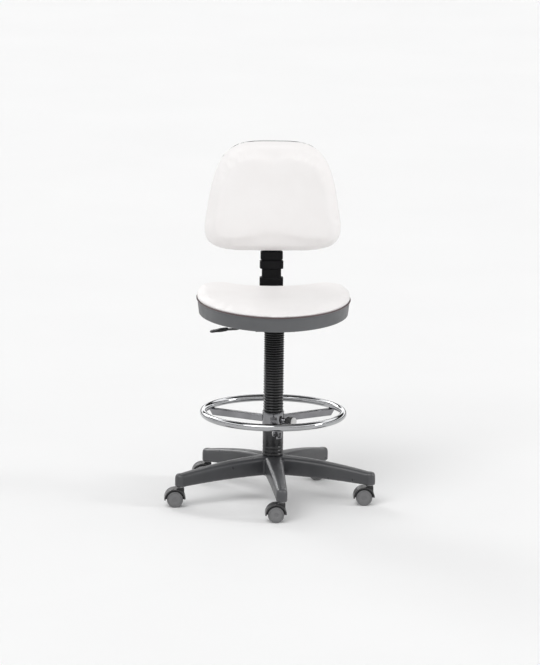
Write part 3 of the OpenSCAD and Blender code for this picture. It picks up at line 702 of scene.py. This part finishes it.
def back_outline(inset=0.0):
    wide, above = PAD_LOW.z + BACK_WIDE, PAD_HEIGHT - BACK_WIDE
    points = superellipse(PAD_WIDTH, wide, above, BACK_WIDE, 4, 3.4, inset)
    for p in points:
        p.x *= 1 - BACK_TAPER * max(0.0, p.y - wide) / (above - inset)
    return even(points)


def back_face(x, depth):
    """Y of the curved layer that lies depth behind the pad's front."""
    front = PAD_HIGH.y - PAD_DEPTH
    radius = BACK_CURVE + depth
    return front - BACK_CURVE + math.sqrt(radius * radius - x * x)


def make_backrest_cushion():
    steps = [(PAD_DEPTH - 0.001, 0.010), (PAD_DEPTH - 0.0015, -0.0006), (0.027, -0.0018), (0.020, -0.0014)]
    steps += [(0.013, 0.0050), (0.008, 0.010), (0.0045, 0.019), (0.0030, 0.031), (0.0025, 0.050)]
    rings = [[Vector((x, back_face(x, depth), z)) for x, z in back_outline(inset)] for depth, inset in steps]
    middle = Vector((0, PAD_LOW.z + 0.45 * PAD_HEIGHT))
    rim = back_outline(0.05)
    for shrink, depth in ((0.8, 0.0022), (0.6, 0.002), (0.4, 0.002), (0.2, 0.002), (0.05, 0.002)):
        ring = [middle.lerp(p, shrink) for p in rim]
        rings.append([Vector((x, back_face(x, depth), z)) for x, z in ring])
    pad = piece("backrest_cushion_pad", loft(rings), None, "upholstery", ["backrest_cushion"], ride=False)
    rear = PAD_DEPTH - 0.004
    inflated(pad, 0.006, lambda p: ease(p.y - back_face(p.x, 0.0), rear - 0.006, rear))
    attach(pad, "backrest")


def make_backrest_shell():
    """Rear shell: a thin rim round the cushion, a shallow dish and a spine that houses the bar."""
    rim, dish = PAD_DEPTH + 0.0003, 0.0095
    spine_low, spine_high = PAD_LOW.z - 0.02, PAD_LOW.z + 0.236
    spine_half = 0.046
    raise_by = SHELL_REAR - back_face(0, rim + dish)

    def spine(x, z):
        across = 1 - ease(abs(x), spine_half - 0.016, spine_half + 0.006)
        return across * (1 - ease(z, spine_high - 0.03, spine_high)) * ease(z, spine_low, spine_low + 0.005)

    steps = [(0.0, 0.0020), (0.0012, 0.0010), (0.004, 0.0013), (0.0065, 0.0034), (0.0083, 0.0074)]
    steps += [(0.0092, 0.012), (dish, 0.022)]
    middle = Vector((0, PAD_LOW.z + 0.45 * PAD_HEIGHT))
    outer = []
    for back, inset in steps:
        outer.append([Vector((x, back_face(x, rim + back), z)) for x, z in back_outline(inset)])
    rim_line = back_outline(0.022)
    shrinks = [1 - k / DISH_RINGS for k in range(1, DISH_RINGS)]
    for shrink in shrinks:
        ring = [middle.lerp(p, shrink) for p in rim_line]
        outer.append([Vector((x, back_face(x, rim + dish), z)) for x, z in ring])
    for ring in outer[2:]:
        for point in ring:
            point.y += raise_by * spine(point.x, point.z)
    inner = []
    for ring in reversed(outer[4:]):
        inner.append([p + Vector((0, -0.0022, 0)) for p in ring])
    inner.append([Vector((x, back_face(x, rim + 0.0002), z)) for x, z in back_outline(0.008)])
    bm = loft(outer + [[p.copy() for p in outer[-1]]], caps=(False, True))
    back = loft(inner, caps=(True, False))
    lip = loft([outer[0], inner[-1]], caps=(False, False))
    shell = merged(bm, back, lip)
    piece("backrest_rear_shell", shell, "backrest", "black_plastic", ["backrest_shell"], sharp=75)


def make_back_bar():
    low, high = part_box("back_bar")
    thick, width = 0.006, high.x - low.x
    back = high.y - thick / 2
    path = fillet([
        Vector((0, low.y, low.z + thick / 2)), Vector((0, back, low.z + thick / 2)), Vector((0, back, high.z))
    ], 0.030, 16)
    bar = swept(path, rounded_rect(width, thick, 0.0012, 2), (1, 0, 0))
    piece("back_bar_steel", bar, "back_bar", "black_steel", ["back_bar"])


def make_bar_boot():
    low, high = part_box("bar_boot")
    middle = (low + high) / 2
    wide, waist = high.x - low.x, 0.060
    deep, thin = high.y - low.y, 0.020

    def swell_at(part):
        """0 at the waist and 1 on a fold; the four quarters are fold, waist, fold, fold."""
        folds = ((0.0, 0.285, 1.0), (0.49, 0.745, 1.0), (0.745, 1.0, 0.70))
        return max(full * ease(part, a, a + 0.03) * (1 - ease(part, b - 0.03, b)) for a, b, full in folds)

    rings = []
    for k in range(97):
        part = k / 96
        swell = swell_at(part)
        outline = rounded_rect(waist + (wide - waist) * swell, thin + (deep - thin) * swell, 0.007, 6)
        height = low.z + (high.z - low.z) * part
        rings.append([Vector((x, middle.y + y, height)) for x, y in outline])
    bore = rounded_rect(0.0505, 0.0066, 0.001, 6)
    for height in (high.z, low.z):
        rings.append([Vector((x, middle.y + y, height)) for x, y in bore])
    skin = loft(rings, loop=True)
    boot = piece("bar_boot_rubber", skin, None, "boot_rubber", ["bar_boot"], 40, "boot_matte", ride=False)
    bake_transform(boot)


def make_backrest_knob():
    low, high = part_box("backrest_knob")
    radius = (high.x - low.x) / 2
    centre = (low + high) / 2
    start, face = high.y - 0.020, high.y
    profile = [(0, 0), (0.011, 0), (0.012, 0.003), (radius, 0.005), (radius, 0.017), (radius - 0.004, 0.020)]
    profile += [(0.008, 0.0195), (0.0, 0.0185)]
    profile = fillet(profile, 0.0016, 3)

    def lobes(turn, height):
        return 1 - 0.07 * (0.5 + 0.5 * math.cos(8 * turn)) ** 2 * ease(height, 0.003, 0.006)

    knob = turned(profile, 128, closed=False, wave=lobes)
    knob.transform(along((centre.x, start, centre.z), (centre.x, face, centre.z)))
    screw = rod(0.004, 0, start - low.y + 0.002)
    screw.transform(along((centre.x, low.y, centre.z), (centre.x, face, centre.z)))
    piece("backrest_knob_lobed", merged(knob, screw), "backrest_clamp", "black_plastic", ["backrest_knob"])


# ---- Column ----

def make_column_cover():
    low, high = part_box("column_cover")
    radius, bore = high.x, 0.0254
    edge = 0.0015
    profile = [(bore, low.z), (radius - edge, low.z), (radius, low.z + edge)]
    groove = 0.0009
    for k in range(3):
        foot = low.z + 0.008 + 0.011 * k
        profile += [(radius, foot - 0.0005), (radius - groove, foot + 0.0004)]
        profile += [(radius - groove, foot + 0.0026), (radius, foot + 0.0035)]
    profile += [(radius, high.z - edge), (radius - edge, high.z), (bore, high.z)]
    cover = turned(profile)
    piece("column_cover_sleeve", cover, "base", "black_plastic", ["column_cover"], 50)


def make_column_bellows():
    low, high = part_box("column_bellows")
    folds, steps = 33, 10
    outer, inner = high.x, 0.0268
    tall = high.z - low.z
    profile = []
    for k in range(folds * steps + 1):
        part = k / (folds * steps)
        height = low.z + tall * (part + 0.17 * part * (1 - part))
        swell = abs(math.sin(math.pi * k / steps)) ** 0.62
        profile.append((inner + (outer - inner) * swell, height))
    for k in range(13):
        profile.append((0.0256, high.z - tall * k / 12))
    bellows = turned(profile, 96)
    made = piece("column_bellows_rubber", bellows, None, "boot_rubber", ["column_bellows"], 70, ride=False)
    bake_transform(made)


# ---- Foot ring ----

SPOKE_TURNS = (-90, 30, 150)   # degrees from +X
TAB_TURN = -60
CLAMP_TURN = -30


def make_foot_ring():
    low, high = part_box("foot_ring_tube")
    tube = (high.z - low.z) / 2
    centre = (low + high) / 2
    radius = 0.225 - tube
    circle = [(radius + p.x, centre.z + p.y) for p in arc(tube, 0, 348.75, 31)]
    piece("foot_ring_hoop", turned(circle, 288), "foot_ring", "chrome", ["foot_ring_tube"], None)

    hub_low, hub_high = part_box("foot_ring_hub")
    collar, bore = 0.0335, 0.03156
    foot, top = hub_high.z - 0.057, hub_high.z
    profile = fillet([(bore, foot), (collar, foot), (collar, top), (bore, top)], 0.0007, 3, closed=True)
    collar_piece = turned(profile)
    spoke_high = centre.z - tube + 0.0012
    spoke_low = spoke_high - 0.020
    spokes = []
    for turn in SPOKE_TURNS:
        half = 0.010
        side = [(collar - 0.001, spoke_low), (radius - 0.008, spoke_low), (radius + 0.006, spoke_high),
                (collar - 0.001, spoke_high)]
        spoke = loft([[Vector((x, y, z)) for x, z in side] for y in (-half, half)])
        bevelled(spoke, 0.0016, 3)
        spoke.transform(about_z(turn))
        spokes.append(spoke)
        weld = swept([Vector((collar + 0.0002, y, spoke_high - 0.0002)) for y in (-half, 0, half)],
                     arc(0.0014, 0, 330, 11), (0, 0, 1))
        weld.transform(about_z(turn))
        spokes.append(weld)
    clamp = math.radians(CLAMP_TURN)
    knob_low, knob_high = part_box("foot_ring_knob")
    height = Vector((0, 0, (knob_low.z + knob_high.z) / 2))
    out = Vector((math.cos(clamp), math.sin(clamp), 0))
    tip = out * 0.2 + height
    profile = fillet([(0.0042, 0), (0.010, 0), (0.010, 0.012), (0.0042, 0.012)], 0.001, 3, closed=True)
    boss = turned(profile, 48)
    boss.transform(along(out * (collar - 0.0012) + height, tip))
    tab = block((bore + 0.0004, -0.0105, hub_low.z), (0.0358, 0.0105, foot + 0.005))
    bevelled(tab, 0.0012, 3)
    tab.transform(about_z(TAB_TURN))
    for name, bm in (("collar", merged(collar_piece, boss, tab)), ("spokes", merged(*spokes))):
        piece(f"foot_ring_{name}", bm, "foot_ring", "chrome", ["foot_ring_hub"], material="plated_steel")

    plugs = []
    for turn in SPOKE_TURNS:
        low_x, high_x = radius - 0.0075, radius + 0.0024
        section = [(low_x - 0.003, spoke_low + 0.0020), (low_x + 0.0012, spoke_low + 0.0020),
                   (high_x + 0.0012, spoke_high - 0.0032), (high_x - 0.003, spoke_high - 0.0032)]
        plug = loft([[Vector((x, y, z)) for x, z in section] for y in (-0.0078, 0.0078)])
        bevelled(plug, 0.0005, 2)
        plug.transform(about_z(turn))
        plugs.append(plug)
    piece("foot_ring_spoke_plugs", merged(*plugs), "foot_ring", "black_plastic")

    narrow, wide = 0.0044, 0.0044 * 1.41
    outline = ((-narrow, 0.0033), (narrow, 0.0033), (wide, 0.0207), (-wide, 0.0207))
    insert = loft([[Vector((x, y, hub_low.z + z)) for y, z in outline] for x in (0.034, 0.0372)])
    bevelled(insert, 0.0006, 2)
    insert.transform(about_z(TAB_TURN))
    piece("foot_ring_tab_insert", insert, "foot_ring", "black_plastic", ["foot_ring_tab"])

    def flutes(turn, along_axis):
        return 1 - 0.06 * (0.5 + 0.5 * math.cos(12 * turn)) ** 2 * ease(along_axis, 0.002, 0.006)

    profile = [(0, 0), (0.0095, 0), (0.0105, 0.0035), (0.015, 0.0045)]
    profile += [(0.015, 0.0215), (0.0135, 0.0235), (0, 0.0235)]
    knob = turned(fillet(profile, 0.0012, 3), 144, closed=False, wave=flutes)
    knob.transform(along(out * (collar + 0.0115) + height, tip))
    shaft = rod(0.004, 0, 0.016)
    shaft.transform(along(out * 0.0319 + height, tip))
    piece("foot_ring_clamp_knob", merged(knob, shaft), "foot_ring_clamp", "black_plastic", ["foot_ring_knob"])
    profile = [(0, 0), (0.0135, 0), (0.0135, 0.0055), (0.0115, 0.008), (0.004, 0.0086), (0, 0.0086)]
    cap = turned(fillet(profile, 0.0015, 4), 96, closed=False)
    cap.transform(along(out * (collar + 0.0338) + height, tip))
    piece("foot_ring_clamp_cap", cap, "foot_ring_clamp", "grey_cap", ["foot_ring_knob_cap"])


# ---- Levers ----

def make_levers():
    for name, body, covered, round_by in (
        ("lift", "lift_lever", ("lift_lever", "lift_paddle"), 0.0035),
        ("tilt_lock", "tilt_lock", ("tilt_lock_lever", "tilt_lock_paddle"), 0.004),
    ):
        low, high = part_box(covered[0])
        grip_low, grip_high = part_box(covered[1])
        middle = (low.y + high.y) / 2
        wall = -0.060
        outer_z, inner_z = (grip_low.z + grip_high.z) / 2, high.z - round_by
        slope = 0.0040 if name == "lift" else 0.0
        drop = 0.044 if name == "lift" else 0.030
        shift = 0.004 if name == "lift" else 0.008
        path = fillet([
            Vector((high.x, middle, inner_z)), Vector((wall - shift, middle, inner_z)),
            Vector((wall - shift - drop, middle, outer_z + slope)),
            Vector((low.x, middle, outer_z + 0.4 * slope)),
        ], 0.010, 8)
        section = arc(round_by, 0, 337.5, 15)
        piece(f"{name}_lever_rod", swept(path, section, (0, 1, 0)), body, "black_steel", [covered[0]])
        rings = []
        length = grip_high.x - grip_low.x
        half = (grip_high.y - grip_low.y) / 2
        tall = (grip_high.z - grip_low.z) / 2
        for k in range(25):
            part = k / 24
            end = math.sqrt(max(1 - (2 * part - 1) ** 8, 0.0))
            width = half * (0.80 + 0.20 * (1 - ease(part, 0.25, 0.7))) * max(end, 0.25)
            depth = tall * (0.55 + 0.45 * ease(part, 0.3, 0.6)) * max(end, 0.3)
            if name == "tilt_lock":
                width = half * 0.92 * max(end, 0.3)
                depth = tall * (0.7 + 0.3 * ease(part, 0.2, 0.7)) * max(end, 0.3)
            outline = rounded_rect(2 * width, 2 * depth, 0.8 * min(width, depth), 5)
            x = grip_low.x + length * part
            tilt = slope * (2.2 * part - 1.2)
            rings.append([Vector((x, middle + a, outer_z + tilt + b)) for a, b in outline])
        piece(f"{name}_lever_paddle", loft(rings), body, "black_plastic", [covered[1]], 50)


# ---- Base ----

STAR_LOW, STAR_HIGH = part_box("base_star")
FRONT_STEM_LOW, FRONT_STEM_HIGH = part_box("caster_1_stem")
FRONT_STEM = (FRONT_STEM_LOW + FRONT_STEM_HIGH) / 2
STEM_RADIUS_OUT = math.hypot(FRONT_STEM.x, FRONT_STEM.y)
FIRST_ARM = math.degrees(math.atan2(FRONT_STEM.y, FRONT_STEM.x))
ARMS = 5
ARM_STEPS = 26
STAR_VOXEL = 0.0022


def arm_section(width, low, high, bevel, crown):
    """Cross-section of an arm: upright sides, bevelled shoulders and a slightly crowned top."""
    half = width / 2
    corners = [(-half * 0.94, low), (half * 0.94, low), (half, low + 0.004), (half, high - bevel),
               (half - bevel * 0.9, high - 0.0006), (0, high + crown), (bevel * 0.9 - half, high - 0.0006),
               (-half, high - bevel), (-half, low + 0.004)]
    return corners


def make_base():
    hub_radius = 0.033
    tip_top = STAR_LOW.z + 0.0400
    parts = []
    for arm in range(ARMS):
        turn = about_z(FIRST_ARM + 360 / ARMS * arm)
        rings = []
        for k in range(ARM_STEPS + 1):
            part = k / ARM_STEPS
            out = 0.012 + (STEM_RADIUS_OUT - 0.004 - 0.012) * part
            width = 0.057 + (0.034 - 0.057) * part ** 0.9
            top = STAR_HIGH.z - 0.001 - (STAR_HIGH.z - 0.001 - tip_top) * part ** 1.75
            low = STAR_LOW.z + 0.019 - 0.018 * part ** 1.9
            bevel = 0.0085 - 0.002 * part
            rings.append([Vector((out, y, z)) for y, z in arm_section(width, low, top, bevel, 0.0012)])
        bar = loft(rings)
        bar.transform(turn)
        parts.append(bar)
        profile = [(0, STAR_LOW.z), (0.0158, STAR_LOW.z), (0.0172, STAR_LOW.z + 0.003)]
        profile += [(0.0172, tip_top - 0.010), (0.0145, tip_top - 0.002)]
        profile += [(0.008, tip_top + 0.0006), (0, tip_top + 0.001)]
        tip = turned(fillet(profile, 0.005, 5), 64, closed=False)
        tip.transform(turn @ Matrix.Translation((STEM_RADIUS_OUT, 0, 0)))
        parts.append(tip)
    hub_bore, hub_foot = 0.024, STAR_LOW.z + 0.013
    profile = [(hub_bore, hub_foot), (hub_radius + 0.002, hub_foot)]
    profile += [(hub_radius + 0.004, STAR_HIGH.z - 0.012), (hub_radius, STAR_HIGH.z), (hub_bore, STAR_HIGH.z)]
    hub = turned(fillet(profile, 0.004, 4, closed=True), 96)
    parts.append(hub)
    star = piece("base_star_moulding", merged(*parts), None, "base_nylon", ["base_star"], ride=False)
    fused(star, STAR_VOXEL, 10)
    cutters = []
    for arm in range(ARMS):
        turn = about_z(FIRST_ARM + 360 / ARMS * arm)
        for near, far in ((0.060, 0.1595), (0.1655, 0.276)):
            half_near, half_far = 0.022 - 0.040 * near, 0.022 - 0.040 * far
            pocket = prism([(near, -half_near), (far, -half_far), (far, half_far), (near, half_near)],
                           STAR_LOW.z - 0.02, STAR_LOW.z + 0.031)
            pocket.transform(turn)
            cutters.append(pocket)
        bore = rod(0.00555, STAR_LOW.z - 0.01, STAR_HIGH.z - 0.044)
        bore.transform(turn @ Matrix.Translation((STEM_RADIUS_OUT, 0, 0)))
        cutters.append(bore)
    cutters.append(rod(0.02505, STAR_LOW.z, STAR_HIGH.z + 0.01, 96))
    cut(star, merged(*cutters))
    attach(star, "base")


def cut(made, tools):
    """Takes the tools' volume out of a piece."""
    bmesh.ops.remove_doubles(tools, verts=tools.verts, dist=1e-6)
    bmesh.ops.recalc_face_normals(tools, faces=tools.faces)
    mesh = bpy.data.meshes.new("tools")
    tools.to_mesh(mesh)
    tools.free()
    tool = bpy.data.objects.new("tools", mesh)
    scene.collection.objects.link(tool)
    boolean = made.modifiers.new("cut", "BOOLEAN")
    boolean.operation = "DIFFERENCE"
    boolean.solver = "EXACT"
    boolean.object = tool
    with_modifiers(made)
    bpy.data.objects.remove(tool)
    clean = bmesh.new()
    clean.from_mesh(made.data)
    bmesh.ops.dissolve_degenerate(clean, edges=clean.edges, dist=0.0003)
    bmesh.ops.recalc_face_normals(clean, faces=clean.faces)
    clean.to_mesh(made.data)
    clean.free()
    finish_shading(made.data, 62)


# ---- Casters ----

def make_casters():
    hood_mesh = wheel_mesh = None
    for number in range(1, 6):
        body = f"caster_{number}"
        wheel_low, wheel_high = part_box(f"{body}_wheel_a")
        stem_low, stem_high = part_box(f"{body}_stem")
        radius = (wheel_high.z - wheel_low.z) / 2
        stem = (stem_low + stem_high) / 2
        centre = Vector(((wheel_low.x + wheel_high.x) / 2, stem.y, radius))
        trail = stem.x - centre.x
        if hood_mesh is None:
            hood_mesh = hood_shape(radius, trail, body)
            wheel_mesh = wheel_shape(radius, wheel_high.y - wheel_low.y)
        hood = bpy.data.objects.new(f"{body}_hood_moulding", hood_mesh)
        hood.location = centre
        scene.collection.objects.link(hood)
        settle(hood, body, [f"{body}_hood"])
        for letter, side in (("a", 1), ("b", -1)):
            low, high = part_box(f"{body}_wheel_{letter}")
            wheel = bpy.data.objects.new(f"{body}_wheel_{letter}_moulding", wheel_mesh)
            inner = low.y if side > 0 else high.y
            wheel.location = (centre.x, inner, radius)
            wheel.rotation_euler = (math.radians(-90 * side), 0, 0)
            scene.collection.objects.link(wheel)
            settle(wheel, f"{body}_wheel_{letter}", [f"{body}_wheel_{letter}"])


def hood_shape(radius, trail, body):
    """Twin-wheel hood round its own wheel centre: a crescent fender, the web and the stem boss."""
    low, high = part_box(f"{body}_hood")
    outer, inner = radius + 0.0076, radius + 0.0034
    half = (high.y - low.y) / 2
    tail = arc(0.0021, 180, 0, 6, (-(outer + inner) / 2, -0.0035))
    sweep = arc(outer, 176, 4, 40) + arc(inner, 0, 180, 40) + [tail[6], tail[3], tail[0]]
    fender = loft([[Vector((p.x, y, p.y)) for p in sweep] for y in (-half, half)])
    plate = arc(outer - 0.002, 182, -4, 40) + arc(0.010, -50, -130, 8)
    web = loft([[Vector((p.x, y, p.y)) for p in plate] for y in (-0.0035, 0.0035)])
    boss_top = high.z - radius
    side = fillet([(trail - 0.0112, 0.0262), (trail + 0.0112, 0.0262 - 0.018), (trail + 0.0112, boss_top),
                   (trail - 0.0112, boss_top)], 0.003, 4, closed=True)
    boss = loft([[Vector((x, y, z)) for x, z in side] for y in (-0.0112, 0.0112)])
    made = piece("hood_master", merged(fender, web, boss), None, "caster_plastic", ride=False)
    fused(made, 0.0009, 4)
    mesh = made.data
    bpy.data.objects.remove(made)
    return mesh


def wheel_shape(radius, width):
    """One wheel, its inner face at height 0 and its closed face at height width."""
    bore, groove = 0.00405, width - 0.0018
    profile = [(0.0, width - 0.004), (bore, width - 0.004), (bore, 0.0), (0.0085, 0.0), (0.0095, 0.0016)]
    profile += [(radius - 0.006, 0.0016), (radius - 0.005, 0.0), (radius - 0.002, 0.0), (radius, 0.0028)]
    profile += [(radius, width - 0.0040), (radius - 0.0022, width - 0.0008)]
    profile += [(radius - 0.0040, width - 0.0004), (radius - 0.0046, groove), (radius - 0.0056, groove)]
    profile += [(radius - 0.0064, width - 0.0006), (0.0075, width), (0.0068, width - 0.0010)]
    profile += [(0.0, width - 0.0004)]
    bm = turned(fillet(profile, 0.0006, 3), 96, closed=False)
    made = piece("wheel_master", bm, None, "wheel_plastic", ride=False, sharp=50)
    mesh = made.data
    bpy.data.objects.remove(made)
    return mesh


def finish_cad_nodes():
    """CAD nodes that still show take their slot's material."""
    for part in frame["record"]["subparts"]:
        node = frame["nodes"][part["node"]]
        node.data.materials.clear()
        node.data.materials.append(MATERIALS[part["material_slot"]])


make_materials()
make_camera()
make_studio()
finish_cad_nodes()
make_seat_cushion()
make_seat_shell()
make_backrest_cushion()
make_backrest_shell()
make_back_bar()
make_bar_boot()
make_backrest_knob()
make_column_cover()
make_column_bellows()
make_foot_ring()
make_levers()
make_base()
make_casters()
